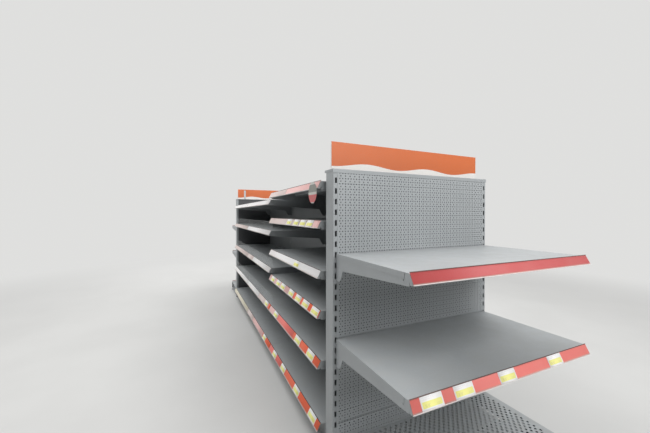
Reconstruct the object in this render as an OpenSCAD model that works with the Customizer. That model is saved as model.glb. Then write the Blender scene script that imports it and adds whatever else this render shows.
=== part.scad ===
// Double-sided shop shelving run with a perforated display bay across each end.
// X runs across the unit, Y along it with the near end at -Y, Z up from the floor.

/* [Run] */
// Number of bays between the two end bays
bays = 3; // [1:1:6]
// Distance between the centre lines of neighbouring posts in the run
bay_w = 1000; // [600:5:1330]
// Distance between the centre lines of an end bay's two posts
end_w = 1000; // [700:5:1330]
// Height of the top caps above the floor
unit_h = 1400; // [1360:50:2400]
// Clear gap between an end bay's frame and the first post of the run
end_gap = 14; // [6:1:60]

/* [Posts] */
// Width of a post's slotted face
post_w = 30; // [26:1:50]
// Depth of a post, from slotted face to slotted face
post_d = 80; // [50:1:120]
// Wall of the post section
post_wall = 2; // [1.5:0.5:3]
// Outer radius of the post section's corners
post_r = 4; // [3.5:0.5:6]
// Distance between slots
slot_pitch = 50; // [40:1:60]
// Height of a slot
slot_h = 26; // [20:1:32]
// Width of a slot, which takes two brackets side by side
slot_w = 10; // [9:0.5:14]
// Distance from the top of the caps down to the centre of the first slot
first_slot_drop = 55; // [40:1:80]
// Height of the post's foot above the floor
post_lift = 16; // [10:1:30]

/* [Side shelves] */
// How far the side shelves' front edges stand out past the end bays' posts
side_overhang = 13; // [0:1:60]
// Slot that carries each shelf of the near bay, counted from the top
near_bay_slots = [0, 4, 9, 13, 18];
// Slot that carries each shelf of the other bays, counted from the top
far_bay_slots = [1, 6, 12, 18];
// Height of the side base decks above the floor
side_base_h = 138; // [110:1:220]
// Height of the clear front risers above their shelf
riser_h = 75; // [40:1:120]
// Thickness of the clear front risers
riser_t = 3; // [2:0.5:5]
// Setback of a riser from the front edge of its shelf
riser_set = 8; // [4:1:40]

/* [End shelves] */
// Depth of an end shelf, from the post's face to its front edge
end_depth = 513; // [300:1:620]
// Slot that carries each end shelf, counted from the top
end_slots = [7, 15];
// Height of the end base decks above the floor
end_base_h = 112; // [100:1:220]

/* [Sheet metal] */
// Thickness of the shelf, panel and plinth sheet
sheet_t = 1.2; // [0.8:0.1:2]
// Inner radius of the bends in the sheet
bend_r = 1.5; // [0.5:0.5:2]
// Thickness of the bracket plate
bracket_t = 2.4; // [2:0.1:3]
// Height of the deck above the centre of its slot
deck_rise = 6; // [2:0.5:10]
// Depth of a shelf's side flanges
flange_h = 20; // [12:1:30]
// Height of a shelf's sloped nose
nose_h = 37; // [25:1:50]
// Slope of the nose, out from upright
nose_tilt = 27; // [0:1:40]
// Width of the slit between a side flange and the nose
slit_w = 2.5; // [1:0.5:5]
// Depth of the nose piece behind the slit
nose_end = 21; // [14:1:30]
// Width of the return under the nose
nose_return = 16; // [14:1:18]
// Height of the hem behind the return
nose_hem = 7; // [5:1:12]
// Gap between a shelf's rear flange and the back panels
back_gap = 1.5; // [0.5:0.5:4]
// Width of the stiffening channel under a deck
rib_w = 90; // [40:1:140]
// Depth of the stiffening channel under a deck
rib_h = 16; // [8:1:20]
// Gap from a shelf's end to the centre line of its post
joint_gap = 1; // [0.5:0.5:3]
// Sideways clearance between a bracket and what it fits
fit_gap = 0.2; // [0.1:0.1:0.4]

/* [Brackets] */
// Height of a bracket where it meets the post
bracket_tail = 127; // [112:1:140]
// Height of a bracket's arm at its root
arm_root = 73; // [60:1:90]
// Height of a bracket's arm at its front
arm_tip = 42; // [30:1:50]
// Chamfer at the front of a bracket's arm
arm_chamfer = 2; // [1:0.5:6]
// Width of a bracket's tail where it leaves the arm
tail_w = 65; // [50:1:80]
// Width of a bracket's tail at its foot
tail_foot = 32; // [20:1:45]
// Length of a hook behind the post's wall
hook_reach = 4; // [3:0.5:8]
// Drop of a hook below the foot of its slot
hook_drop = 6; // [4:0.5:9]
// Radius of the hole near a bracket's front
pin_r = 3; // [2:0.5:5]

/* [Strips] */
// Height of a ticket strip along its slope
strip_h = 41; // [30:1:50]
// Thickness of a ticket strip
strip_t = 1.6; // [1:0.1:3]
// Depth of the lips that hold a ticket
strip_lip = 1.6; // [1:0.1:3]
// Reach of the lips over a ticket's edge
strip_grip = 3; // [2:0.5:5]

/* [Panels] */
// Height from one full back panel to the next
panel_pitch = 400; // [200:50:600]
// Width by which a panel laps over each post's face
panel_lap = 7; // [3:0.5:9]
// Depth of a panel's folded edges
panel_edge = 14; // [8:1:20]
// Gap between two panels
panel_gap = 1; // [0.5:0.5:3]

/* [Caps] */
// Depth of a cap's front lip
cap_lip = 20; // [12:1:30]
// Depth of a cap's side returns
cap_return = 12; // [8:1:20]
// Overhang of an end cap behind its posts
cap_over = 12; // [4:1:14]

/* [Base] */
// Width of a base leg
leg_w = 26; // [20:1:30]
// Wall of a base leg
leg_wall = 2; // [1.5:0.5:4]
// Height of a base leg's underside above the floor
leg_lift = 26; // [14:1:40]
// Setback of a leg's foot behind the leg's front
foot_set = 40; // [20:1:80]
// Setback of a plinth behind the front edge of its deck
plinth_set = 50; // [20:1:80]
// Height of a plinth's lower edge above the floor
plinth_lift = 8; // [4:1:20]
// Width of a plinth's folded edges
plinth_fold = 12; // [8:1:20]
// Gap between a plinth and the nose above it
plinth_gap = 2; // [1:0.5:6]
// Radius of a levelling foot's pad
foot_r = 18; // [12:1:24]
// Height of a levelling foot's pad
foot_pad_h = 7; // [4:1:9]
// Radius of a levelling foot's stud
stud_r = 5; // [4:0.5:8]

/* [Rails] */
// Height of a cross rail
rail_h = 40; // [25:1:60]
// Depth of a cross rail
rail_d = 25; // [15:1:30]
// Wall of a cross rail
rail_wall = 2; // [1.5:0.5:3]

/* [Header] */
// Height of the header board
header_h = 141; // [80:1:300]
// Width of the header board
header_w = 994; // [600:1:1300]
// Thickness of the header board
header_t = 8; // [3:1:12]
// Distance of the header board behind the posts' face
header_back = 56; // [30:1:60]
// Width of a header holder
holder_w = 24; // [12:1:40]
// Thickness of a header holder
holder_t = 3; // [2:0.5:5]
// Distance of a holder from the board's end
holder_set = 97; // [40:1:200]
// Height of the board above the top of its holders
holder_drop = 14; // [5:1:60]

/* [Hidden] */
$fn = 48;
eps = 0.01;
bend_steps = 4;

// Colours
grey_paint = [0.62, 0.64, 0.65];
dark_grey = [0.30, 0.31, 0.32];
strip_red = [0.80, 0.28, 0.24];
header_orange = [0.86, 0.40, 0.20];
clear_plastic = [0.80, 0.86, 0.88, 0.5];
zinc = [0.70, 0.71, 0.72];

// Places worked out from the sizes above
run_l = bays * bay_w;
post_ys = [for (i = [0:bays]) i * bay_w - run_l / 2];
bay_ys = [for (i = [0:bays - 1]) (i + 0.5) * bay_w - run_l / 2];
end_face = run_l / 2 + post_w / 2 + end_gap + post_d;
side_depth = (end_w + post_w - post_d) / 2 + side_overhang;
cap_t = sheet_t;
post_top = unit_h - cap_t;
first_slot_z = unit_h - first_slot_drop;
slot_n = floor((first_slot_z - side_base_h + slot_pitch / 2) / slot_pitch) + 1;
nose_out = nose_h * tan(nose_tilt);
deck_back = sheet_t + back_gap;
bracket_inset = joint_gap + sheet_t + fit_gap;
end_rail_zs = [end_base_h + sheet_t + fit_gap, unit_h / 2, unit_h - rail_h];

function slot_z(k) = first_slot_z - k * slot_pitch;
function deck_z(k) = slot_z(k) + deck_rise;
function bay_slots(i) = i == 0 ? near_bay_slots : far_bay_slots;
function panel_bottom(base_h) = base_h - flange_h;
function panel_tops(base_h) =
    [for (z = [post_top - panel_gap : -panel_pitch : panel_bottom(base_h) + 2 * panel_edge]) z];

// The two sides of a folded sheet's bend at b, as pairs of points; t is its thickness to the left of a-b-c
function left_of(d) = [-d[1], d[0]];
function turned(v, angle) = [v[0] * cos(angle) - v[1] * sin(angle), v[0] * sin(angle) + v[1] * cos(angle)];
function bend(a, b, c, t) =
    let (d1 = (b - a) / norm(b - a), d2 = (c - b) / norm(c - b))
    let (turn = atan2(cross(d1, d2), d1 * d2), side = sign(turn))
    let (r = bend_r + (side * t > 0 ? abs(t) : 0))
    let (start = b - d1 * r * tan(abs(turn) / 2), centre = start + side * r * left_of(d1))
    [for (k = [0:bend_steps])
        let (ray = turned(start - centre, turn * k / bend_steps))
        [centre + ray, centre + ray * (r - side * t) / r]];
function end_pair(p, d, t) = [[p, p + t * left_of(d) / norm(d)]];
function sheet_pairs(pts, t) =
    let (n = len(pts) - 1)
    concat(end_pair(pts[0], pts[1] - pts[0], t),
        [for (i = [1:n - 1]) each bend(pts[i - 1], pts[i], pts[i + 1], t)],
        end_pair(pts[n], pts[n] - pts[n - 1], t));

// A folded sheet's outline from the line of its face, and the line of that face alone
function folded(pts, t) =
    let (pairs = sheet_pairs(pts, t), n = len(pairs) - 1)
    concat([for (p = pairs) p[0]], [for (i = [n:-1:0]) pairs[i][1]]);
function face_line(pts, t) = [for (p = sheet_pairs(pts, t)) p[0]];

// A section drawn as outward distance and height, run along a bay
module along(length) {
    rotate([90, 0, -90]) linear_extrude(length, center = true) children();
}

// Places for the pieces of one bay, with its posts' face at Y = 0 and the shelves towards -Y
module near_end() { translate([0, -end_face, 0]) children(); }
module far_end() { rotate(180) near_end() children(); }
module left_bay(i) { translate([-post_d / 2, bay_ys[i], 0]) rotate(-90) children(); }
module right_bay(i) { translate([post_d / 2, bay_ys[i], 0]) rotate(90) children(); }
module both_ends(length) { for (s = [-1, 1]) translate([s * length / 2, 0, 0]) children(); }

// A sheet folded back along its upper and lower edges over the inner width, and flat over its laps
module edged_sheet(outer_w, inner_w, face, low, high, fold) {
    lap_w = (outer_w - inner_w) / 2 + eps;
    along(inner_w) polygon(folded([[face - fold, low], [face, low], [face, high], [face - fold, high]], sheet_t));
    both_ends(outer_w - lap_w) along(lap_w) translate([face - sheet_t, low]) square([sheet_t, high - low]);
}

// A rectangle with round corners, centred across X and from Y = 0 up
module rounded(w, d, r) {
    translate([-w / 2 + r, 0]) square([w - 2 * r, d]);
    translate([-w / 2, r]) square([w, d - 2 * r]);
    for (x = [-w / 2 + r, w / 2 - r], y = [r, d - r]) translate([x, y]) circle(r);
}

// A slotted post section, its face at Y = 0 and its body towards +Y
module post(slots_behind) {
    reach = slots_behind ? post_d + 2 * eps : post_wall + 2 * eps;
    difference() {
        translate([0, 0, post_lift]) linear_extrude(post_top - post_lift) rounded(post_w, post_d, post_r);
        translate([0, post_wall, post_lift + post_wall]) linear_extrude(post_top)
            rounded(post_w - 2 * post_wall, post_d - 2 * post_wall, post_r - post_wall);
        for (k = [0:slot_n - 1])
            translate([-slot_w / 2, -eps, slot_z(k) - slot_h / 2]) cube([slot_w, reach, slot_h]);
    }
}

// A rectangular tube between two posts, its middle at height z and its front at depth y
module cross_rail(length, y, z) {
    translate([0, y, z]) difference() {
        translate([-length / 2, 0, -rail_h / 2]) cube([length, rail_d, rail_h]);
        translate([-length / 2 - eps, rail_wall, -rail_h / 2 + rail_wall])
            cube([length + 2 * eps, rail_d - 2 * rail_wall, rail_h - 2 * rail_wall]);
    }
}

// The stacked back panels of one bay, full ones from the top down and a low one at the foot
module back_panels(width, base_h) {
    tops = panel_tops(base_h);
    for (i = [0:len(tops) - 1])
        edged_sheet(width - post_w + 2 * panel_lap, width - post_w - 2 * fit_gap, sheet_t,
            i + 1 < len(tops) ? tops[i + 1] + panel_gap : panel_bottom(base_h), tops[i], panel_edge + sheet_t);
}

// The line of a deck's face, from height zero at its rear over the sloped nose to the hem behind the return
function deck_line(rear, depth) = [
    [rear, 0], [depth, 0], [depth + nose_out, -nose_h],
    [depth + nose_out - nose_return, -nose_h], [depth + nose_out - nose_return, nose_hem - nose_h]
];

// The flange along a deck's rear edge, which stops short of what carries the deck
module rear_flange(length) {
    along(length) translate([deck_back, -flange_h]) square([sheet_t, flange_h]);
}

// A channel under the middle of a deck, closed above by the deck and open at its ends
module stiffener(length, depth) {
    along(length) translate([(depth - rib_w) / 2, -rib_h]) difference() {
        square([rib_w, rib_h - sheet_t / 2]);
        translate([sheet_t, sheet_t]) square([rib_w - 2 * sheet_t, rib_h]);
    }
}

// A shelf with side flanges that stop short of the nose, its deck at height z
module shelf(width, depth, z) {
    length = width - 2 * joint_gap;
    inner = width - 2 * (bracket_inset + bracket_t + fit_gap);
    flange_front = depth - nose_end - slit_w;
    translate([0, 0, z]) {
        along(length) polygon(folded(deck_line(deck_back, depth), -sheet_t));
        rear_flange(inner);
        stiffener(inner, depth);
        both_ends(length - sheet_t) {
            along(sheet_t) translate([deck_back, -flange_h]) square([flange_front - deck_back, flange_h]);
            along(sheet_t) polygon(concat(
                face_line(deck_line(depth - nose_end, depth), -sheet_t), [[depth - nose_end, -flange_h]]));
        }
    }
}

// A base deck, which lies flat on the legs
module base_deck(width, depth, z) {
    translate([0, 0, z]) {
        along(width - 2 * joint_gap) polygon(folded(deck_line(deck_back, depth), -sheet_t));
        rear_flange(width - leg_w - 2 * fit_gap);
        stiffener(width - leg_w - 2 * fit_gap, depth);
    }
}

// One bracket plate with three hooks, for a deck at height zero over a slot at -deck_rise
module bracket_plate(depth) {
    neck = post_wall + fit_gap;
    tip = depth - sheet_t - fit_gap;
    bevel = tail_w - tail_foot;
    difference() {
        polygon([
            [0, -sheet_t], [depth - nose_end - slit_w, -sheet_t], [tip, -flange_h / 2],
            [tip, -arm_tip + arm_chamfer], [tip - arm_chamfer, -arm_tip],
            [tail_w, -arm_root], [tail_w - bevel / 2, -arm_root - bevel],
            [tail_foot, -bracket_tail], [0, -bracket_tail]
        ]);
        translate([depth - nose_end - slit_w - 2 * pin_r, -flange_h - 2 * pin_r]) circle(pin_r);
    }
    for (k = [0:2]) translate([0, -deck_rise - k * slot_pitch - slot_h / 2]) {
        translate([-neck - hook_reach, -hook_drop]) square([hook_reach, slot_h / 2 + hook_drop]);
        translate([-neck - eps, 0]) square([neck + 2 * eps, slot_h / 2]);
    }
}

// The pair of brackets of one shelf, just inside its side flanges
module bracket_pair(width, depth, z) {
    translate([0, 0, z])
        both_ends(width - 2 * bracket_inset - bracket_t) along(bracket_t) bracket_plate(depth);
}

// A ticket strip on a shelf's nose, with a lip along each edge
module ticket_strip(width, depth, z) {
    start = (nose_h / cos(nose_tilt) - strip_h) / 2;
    lip = strip_t + strip_lip;
    translate([0, 0, z]) along(width - 2 * joint_gap)
        translate([depth, 0]) rotate(nose_tilt - 90) translate([start, 0]) polygon([
            [0, 0], [strip_h, 0], [strip_h, lip], [strip_h - strip_grip, lip],
            [strip_h - strip_t, strip_t], [strip_t, strip_t], [strip_grip, lip], [0, lip]]);
}

// A base leg folded as a channel, open to one side, from the post's face out to the plinth
module base_leg(depth, z) {
    out = depth - plinth_set - sheet_t;
    inner_h = z - sheet_t - leg_lift - 2 * leg_wall;
    translate([-leg_w / 2, -out, leg_lift]) difference() {
        cube([leg_w, out, z - sheet_t - leg_lift]);
        translate([leg_wall, leg_wall, leg_wall]) cube([leg_w, out - 2 * leg_wall, inner_h]);
    }
}

// A kick plate in front of the legs, folded back between them along its edges
module plinth(width, depth, z) {
    edged_sheet(width - 2 * joint_gap, width - leg_w - 2 * fit_gap, depth - plinth_set,
        plinth_lift, z - nose_h - plinth_gap, plinth_fold);
}

// A clear riser standing on a shelf just behind its front edge
module riser(width, depth, z) {
    translate([0, 0, z]) along(width - 2 * joint_gap - 2 * riser_t)
        translate([depth - riser_set - riser_t, 0]) square([riser_t, riser_h]);
}

// A levelling foot under the point [0, 0], its stud up to height z
module foot(z) {
    cylinder(r = foot_r, h = foot_pad_h);
    translate([0, 0, foot_pad_h - eps]) cylinder(r = stud_r, h = z - foot_pad_h + eps);
}

// Pieces of one end bay
module end_uprights() {
    color(grey_paint) both_ends(end_w) post(false);
}
module end_cross_rails() {
    color(dark_grey) for (z = end_rail_zs) cross_rail(end_w - post_w, post_d - rail_d, z);
}
module end_back_panels() {
    color(grey_paint) {
        back_panels(end_w, end_base_h);
        translate([0, post_d, 0]) rotate(180) back_panels(end_w, end_base_h);
    }
}
module end_top_cap() {
    width = end_w + post_w + 2 * cap_t;
    front = sheet_t + fit_gap + cap_t;
    back = -post_d - cap_over;
    color(grey_paint) {
        along(width) polygon(folded([[front, unit_h - cap_lip], [front, unit_h], [back, unit_h]], cap_t));
        both_ends(width - cap_t) along(cap_t) polygon(concat(
            face_line([[front, unit_h - cap_return], [front, unit_h], [back, unit_h]], cap_t),
            [[back, unit_h - cap_return]]));
    }
}
module end_shelf(i) {
    color(grey_paint) shelf(end_w, end_depth, deck_z(end_slots[i]));
}
module end_brackets() {
    color(grey_paint) for (k = end_slots) bracket_pair(end_w, end_depth, deck_z(k));
}
module end_strips() {
    color(strip_red) {
        for (k = end_slots) ticket_strip(end_w, end_depth, deck_z(k));
        ticket_strip(end_w, end_depth, end_base_h);
    }
}
module end_base_deck() {
    color(grey_paint) base_deck(end_w, end_depth, end_base_h);
}
module end_base_legs() {
    color(grey_paint) both_ends(end_w) base_leg(end_depth, end_base_h);
}
module end_plinth() {
    color(grey_paint) plinth(end_w, end_depth, end_base_h);
}
module header_board() {
    color(header_orange) translate([-header_w / 2, header_back, unit_h])
        cube([header_w, header_t, header_h]);
}
module header_holders() {
    color(zinc) both_ends(header_w - 2 * holder_set) translate([-holder_w / 2, header_back + header_t, unit_h]) {
        cube([holder_w, holder_t, header_h - holder_drop]);
        cube([holder_w, holder_w, holder_t]);
    }
}

// Pieces of the run between the ends
module run_posts() {
    color(grey_paint) for (y = post_ys) translate([-post_d / 2, y, 0]) rotate(-90) post(true);
}
module run_cross_rails() {
    color(dark_grey) for (y = bay_ys, z = [side_base_h, unit_h / 2, unit_h - rail_h])
        translate([rail_d / 2, y, 0]) rotate(90) cross_rail(bay_w - post_w, 0, z);
}
module run_back_panels() {
    color(grey_paint) for (i = [0:bays - 1]) {
        left_bay(i) back_panels(bay_w, side_base_h);
        right_bay(i) back_panels(bay_w, side_base_h);
    }
}
module run_top_cap() {
    half = post_d / 2 + sheet_t + fit_gap + cap_t;
    color(grey_paint) rotate(90) along(run_l + post_w) polygon(folded(
        [[-half, unit_h - cap_lip], [-half, unit_h], [half, unit_h], [half, unit_h - cap_lip]], -cap_t));
}
module run_base_legs() {
    color(grey_paint) for (y = post_ys) {
        translate([-post_d / 2, y, 0]) rotate(-90) base_leg(side_depth, side_base_h);
        translate([post_d / 2, y, 0]) rotate(90) base_leg(side_depth, side_base_h);
    }
}
module end_couplers() {
    color(zinc) for (s = [0, 180], z = end_rail_zs) rotate(s) near_end()
        translate([-post_w / 2, post_d + sheet_t, z - rail_h / 2]) cube([post_w, end_gap - sheet_t, rail_h]);
}
module levelling_feet() {
    color(dark_grey) {
        for (y = post_ys, side = [-1, 0, 1])
            translate([side * (post_d / 2 + side_depth - plinth_set - foot_set), y, 0])
                foot(side == 0 ? post_lift : leg_lift);
        for (s = [0, 180]) rotate(s) near_end() both_ends(end_w) {
            translate([0, post_d / 2, 0]) foot(post_lift);
            translate([0, plinth_set + foot_set - end_depth, 0]) foot(leg_lift);
        }
    }
}

// Pieces of one bay on either side of the run
module side_shelves(i) {
    for (k = bay_slots(i)) shelf(bay_w, side_depth, deck_z(k));
}
module side_brackets(i) {
    for (k = bay_slots(i)) bracket_pair(bay_w, side_depth, deck_z(k));
}
module side_strips(i) {
    for (k = bay_slots(i)) ticket_strip(bay_w, side_depth, deck_z(k));
    ticket_strip(bay_w, side_depth, side_base_h);
}
module side_risers(i) {
    if (i > 0) for (k = [1:len(far_bay_slots) - 1]) riser(bay_w, side_depth, deck_z(far_bay_slots[k]));
}

near_end() end_uprights();  // near_uprights
near_end() end_cross_rails();  // near_cross_rails
near_end() end_back_panels();  // near_back_panels
near_end() end_top_cap();  // near_top_cap
near_end() end_shelf(0);  // near_upper_shelf
near_end() end_shelf(1);  // near_lower_shelf
near_end() end_brackets();  // near_shelf_brackets
near_end() end_strips();  // near_ticket_strips
near_end() end_base_deck();  // near_base_deck
near_end() end_base_legs();  // near_base_legs
near_end() end_plinth();  // near_plinth
near_end() header_board();  // near_header_board
near_end() header_holders();  // near_header_holders

far_end() end_uprights();  // far_uprights
far_end() end_cross_rails();  // far_cross_rails
far_end() end_back_panels();  // far_back_panels
far_end() end_top_cap();  // far_top_cap
far_end() end_shelf(0);  // far_upper_shelf
far_end() end_shelf(1);  // far_lower_shelf
far_end() end_brackets();  // far_shelf_brackets
far_end() end_strips();  // far_ticket_strips
far_end() end_base_deck();  // far_base_deck
far_end() end_base_legs();  // far_base_legs
far_end() end_plinth();  // far_plinth
far_end() header_board();  // far_header_board
far_end() header_holders();  // far_header_holders

run_posts();
run_cross_rails();
run_back_panels();
run_top_cap();
run_base_legs();
end_couplers();
levelling_feet();

color(grey_paint) for (i = [0:bays - 1]) left_bay(i) side_shelves(i);  // left_shelves
color(grey_paint) for (i = [0:bays - 1]) left_bay(i) side_brackets(i);  // left_shelf_brackets
color(strip_red) for (i = [0:bays - 1]) left_bay(i) side_strips(i);  // left_ticket_strips
color(grey_paint) for (i = [0:bays - 1]) left_bay(i) base_deck(bay_w, side_depth, side_base_h);  // left_base_decks
color(grey_paint) for (i = [0:bays - 1]) left_bay(i) plinth(bay_w, side_depth, side_base_h);  // left_plinths
color(clear_plastic) for (i = [0:bays - 1]) left_bay(i) side_risers(i);  // left_risers

color(grey_paint) for (i = [0:bays - 1]) right_bay(i) side_shelves(i);  // right_shelves
color(grey_paint) for (i = [0:bays - 1]) right_bay(i) side_brackets(i);  // right_shelf_brackets
color(strip_red) for (i = [0:bays - 1]) right_bay(i) side_strips(i);  // right_ticket_strips
color(grey_paint) for (i = [0:bays - 1]) right_bay(i) base_deck(bay_w, side_depth, side_base_h);  // right_base_decks
color(grey_paint) for (i = [0:bays - 1]) right_bay(i) plinth(bay_w, side_depth, side_base_h);  // right_plinths
color(clear_plastic) for (i = [0:bays - 1]) right_bay(i) side_risers(i);  // right_risers
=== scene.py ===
"""Looks of a double-sided run of shop shelving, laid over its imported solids.

Sizes are in metres. X runs across the unit, Y along it with the near end at -Y, Z up from the floor.
"""

import math
import random

import bmesh
import bpy
from bpy.props import FloatProperty, FloatVectorProperty, IntProperty, PointerProperty
from mathutils import Matrix, Vector


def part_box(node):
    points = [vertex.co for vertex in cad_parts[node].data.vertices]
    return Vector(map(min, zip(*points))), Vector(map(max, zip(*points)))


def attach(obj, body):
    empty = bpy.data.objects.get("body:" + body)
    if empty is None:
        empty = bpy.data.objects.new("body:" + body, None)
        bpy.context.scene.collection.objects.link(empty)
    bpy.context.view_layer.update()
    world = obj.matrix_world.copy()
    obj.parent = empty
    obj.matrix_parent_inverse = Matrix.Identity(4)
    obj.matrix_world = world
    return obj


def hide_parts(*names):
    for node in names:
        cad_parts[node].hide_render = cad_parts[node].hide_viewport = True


bl_info = {
    "name": "Shop Shelving Run",
    "version": (1, 0, 0),
    "blender": (4, 5, 0),
    "location": "3D View > Sidebar > Shelving",
    "description": "Dresses a double-sided shelving run with punched sheet, strips, cards and fittings",
    "category": "Object",
}

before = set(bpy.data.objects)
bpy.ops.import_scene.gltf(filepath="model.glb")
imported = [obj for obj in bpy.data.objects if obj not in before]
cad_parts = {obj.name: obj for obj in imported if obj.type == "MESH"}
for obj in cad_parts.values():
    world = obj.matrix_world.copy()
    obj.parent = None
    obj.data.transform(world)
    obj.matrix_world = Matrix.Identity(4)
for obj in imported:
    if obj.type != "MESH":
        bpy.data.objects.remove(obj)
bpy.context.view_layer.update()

UP = Vector((0, 0, 1))
NEAR = Vector((0, -1, 0))
FAR = Vector((0, 1, 0))
LEFT = Vector((-1, 0, 0))
RIGHT = Vector((1, 0, 0))
ENDS = {"near": NEAR, "far": FAR}
SIDES = {"left": LEFT, "right": RIGHT}
PLACES = ENDS | SIDES

# Within these distances points are one: in solids and turned pieces, at a cut, and on a sheet's rim
MERGE_DISTANCE = 2e-6
CUT_DISTANCE = 1e-6
RIM_DISTANCE = 1e-5
# Triangles at less than the first angle are one face, and edges over the second are rounded
FLAT_ANGLE = math.radians(0.3)
SHARP_ANGLE = math.radians(35)
BEND_STEPS = 4

# Gap between two back panels, which the rows of holes run across, and width of a panel's unfolded ends
PANEL_GAP = 0.001
PANEL_END = 0.0072
# Holes that a close row and a wide row have over one length of the panels' pattern
CLOSE_HOLES = 5
WIDE_HOLES = 3
# Least width and depth of a base deck that stay without holes, its nose, and the channel under it
DECK_BORDER = Vector((0.024, 0.020))
NOSE_RETURN = 0.016
NOSE_HEM = 0.007
LEG_SPACE = 0.0264
CHANNEL_WIDTH = 0.090
CHANNEL_DEPTH = 0.016
# Thickness of papers and tickets, and what papers leave free at a strip's ends and between them
CARD_SHEET = 0.00015
PAPER_END = 0.001
PAPER_GAP = 0.0005
# How papers and tickets lie in a strip: free at head and foot, off its back, and bowed in the middle
PAPER_FIT = {"margin": 0.0008, "lift": 0.0002, "bow": 0.0003}
TICKET_FIT = {"margin": 0.0010, "lift": 0.0008, "bow": 0.0004}
# Most that a ticket has slipped along its strip or turned in it, and range of the papers' tones
TICKET_SLIP = 0.001
TICKET_TILT = 0.002
PAPER_TONES = (0.93, 1.05)
# How far from a strip's section a point still counts as its own: along, down its slope, off its back
STRIP_REACH = (0.001, 0.01, 0.02)
# Thickness of a header holder's plate, and the heights of its rivets as shares of its own
HOLDER_SHEET = 0.003
RIVET_LEVELS = (0.35, 0.80)
# The flag's radius, thickness, bare rim, place in Y and Z, and how far it is pressed into its strip
FLAG_RADIUS = 0.055
FLAG_SHEET = 0.0007
FLAG_RIM = 0.0015
FLAG_PLACE = (-1.437, 1.297)
FLAG_PRESS = 0.00002
# A levelling foot's stud, and the lock nut on it
STUD_FOOT = 0.0065
STUD_RADIUS = 0.005
NUT_FOOT = 0.0072
NUT_HEIGHT = 0.006
NUT_RADIUS = 0.0095
NUT_EDGE = 0.0005

# Each lamp's place, the point that it looks at, its watts, and whether gloss mirrors it
LAMPS = {
    "front": ((1.0, -5.8, 4.2), (0, -1.6, 0.9), 265, True),
    "back": ((-1.0, 5.8, 4.2), (0, 1.6, 0.9), 265, False),
    "left": ((-2.6, -0.4, 5.0), (0, 0, 0.8), 170, False),
    "right": ((2.6, 0.4, 5.0), (0, 0, 0.8), 170, False),
}
LAMP_SIZE = 4.0
# Distances from the middle at which the floor starts and ends turning into the background
FLOOR_FADE = (2.6, 6.5)
FLOOR_HALF = 60
CAMERA_SHIFT = -0.001

# What lies in the strips. Each shelf has its papers, as where each ends along the strip and its colour,
# and its tickets, as where each starts and ends. Long sides are listed from the near end, and shelves
# from the top.
END_CARDS = [
    ([(1.0, "red")], []),
    # The coral of the lower shelf is red paper drawn lighter as painted glare on its sloped cover.
    ([(1.0, "coral")], [(0.038, 0.131), (0.183, 0.275), (0.408, 0.500), (0.705, 0.798)]),
    ([(1.0, "coral")], [(0.110, 0.202), (0.610, 0.702)]),
]
NEAR_BAY_CARDS = [
    # On the two top shelves, seen from below, the blush towards the far end is painted sheen: rose paper
    # drawn paler where its cover catches the light.
    ([(0.560, "rose"), (1.0, "blush")], []),
    ([(0.080, "rose"), (1.0, "blush")], [(0.086, 0.178), (0.190, 0.282), (0.306, 0.398), (0.446, 0.538)]),
    ([(1.0, "white")], [(0.300, 0.392)]),
    (
        [(0.400, "brick"), (1.0, "rose")],
        [
            (0.008, 0.100), (0.146, 0.238), (0.268, 0.360), (0.403, 0.495),
            (0.586, 0.678), (0.700, 0.792), (0.850, 0.942),
        ],
    ),
    ([(0.410, "brick"), (0.760, "coral"), (1.0, "rose")], [(0.071, 0.164), (0.275, 0.367), (0.775, 0.867)]),
    ([(0.680, "brick"), (1.0, "coral")], [(0.045, 0.138), (0.298, 0.390), (0.580, 0.673), (0.807, 0.899)]),
]
MIDDLE_BAY_CARDS = [
    ([(1.0, "white")], []),
    ([(1.0, "white")], []),
    ([(0.700, "white"), (1.0, "blush")], []),
    ([(0.060, "brick"), (0.420, "blush"), (1.0, "white")], [(0.075, 0.167)]),
    ([(0.260, "brick"), (0.700, "rose"), (1.0, "blush")], [(0.150, 0.242)]),
]
FAR_BAY_CARDS = [
    ([(1.0, "white")], []),
    ([(1.0, "blush")], []),
    ([(1.0, "blush")], []),
    ([(1.0, "white")], []),
    ([(1.0, "cream")], []),
]


# Settings


def length_setting(name, description, default):
    return FloatProperty(name=name, description=description, default=default, unit="LENGTH", precision=4)


def angle_setting(name, description, degrees):
    default = math.radians(degrees)
    return FloatProperty(name=name, description=description, default=default, subtype="ANGLE")


def colour_setting(name, description, default):
    return FloatVectorProperty(
        name=name, description=description, default=default, subtype="COLOR", min=0, max=1
    )


class ShelvingSheet(bpy.types.PropertyGroup):
    """Sizes of the folded steel sheet and the holes punched in it."""

    thickness: length_setting("Sheet", "Thickness of the sheet", 0.0012)
    bend: length_setting("Bend", "Outer radius of a fold", 0.0027)
    edge: length_setting("Edge", "Rounding of a cut edge", 0.0004)
    hole: length_setting("Panel hole", "Diameter of a back panel's holes", 0.006)
    row: length_setting("Panel row", "Distance between rows of holes", 0.0125)
    pitch: length_setting("Panel pitch", "Pitch of the holes in a wide row", 0.025)
    deck_hole: length_setting("Deck hole", "Diameter of a base deck's holes", 0.012)
    deck_pitch: length_setting("Deck pitch", "Pitch of a base deck's staggered holes", 0.032)


class ShelvingStrip(bpy.types.PropertyGroup):
    """Section of the ticket strips, as the solids have it."""

    tilt: angle_setting("Tilt", "Slope of the strip, out from upright", 27)
    height: length_setting("Height", "Height of the strip along its slope", 0.041)
    back: length_setting("Back", "Thickness of the strip's back", 0.0016)
    depth: length_setting("Depth", "Depth of the strip at its lips", 0.0032)
    rise: length_setting("Rise", "How far the upper lip stands past the solids' strip", 0.005)


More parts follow.
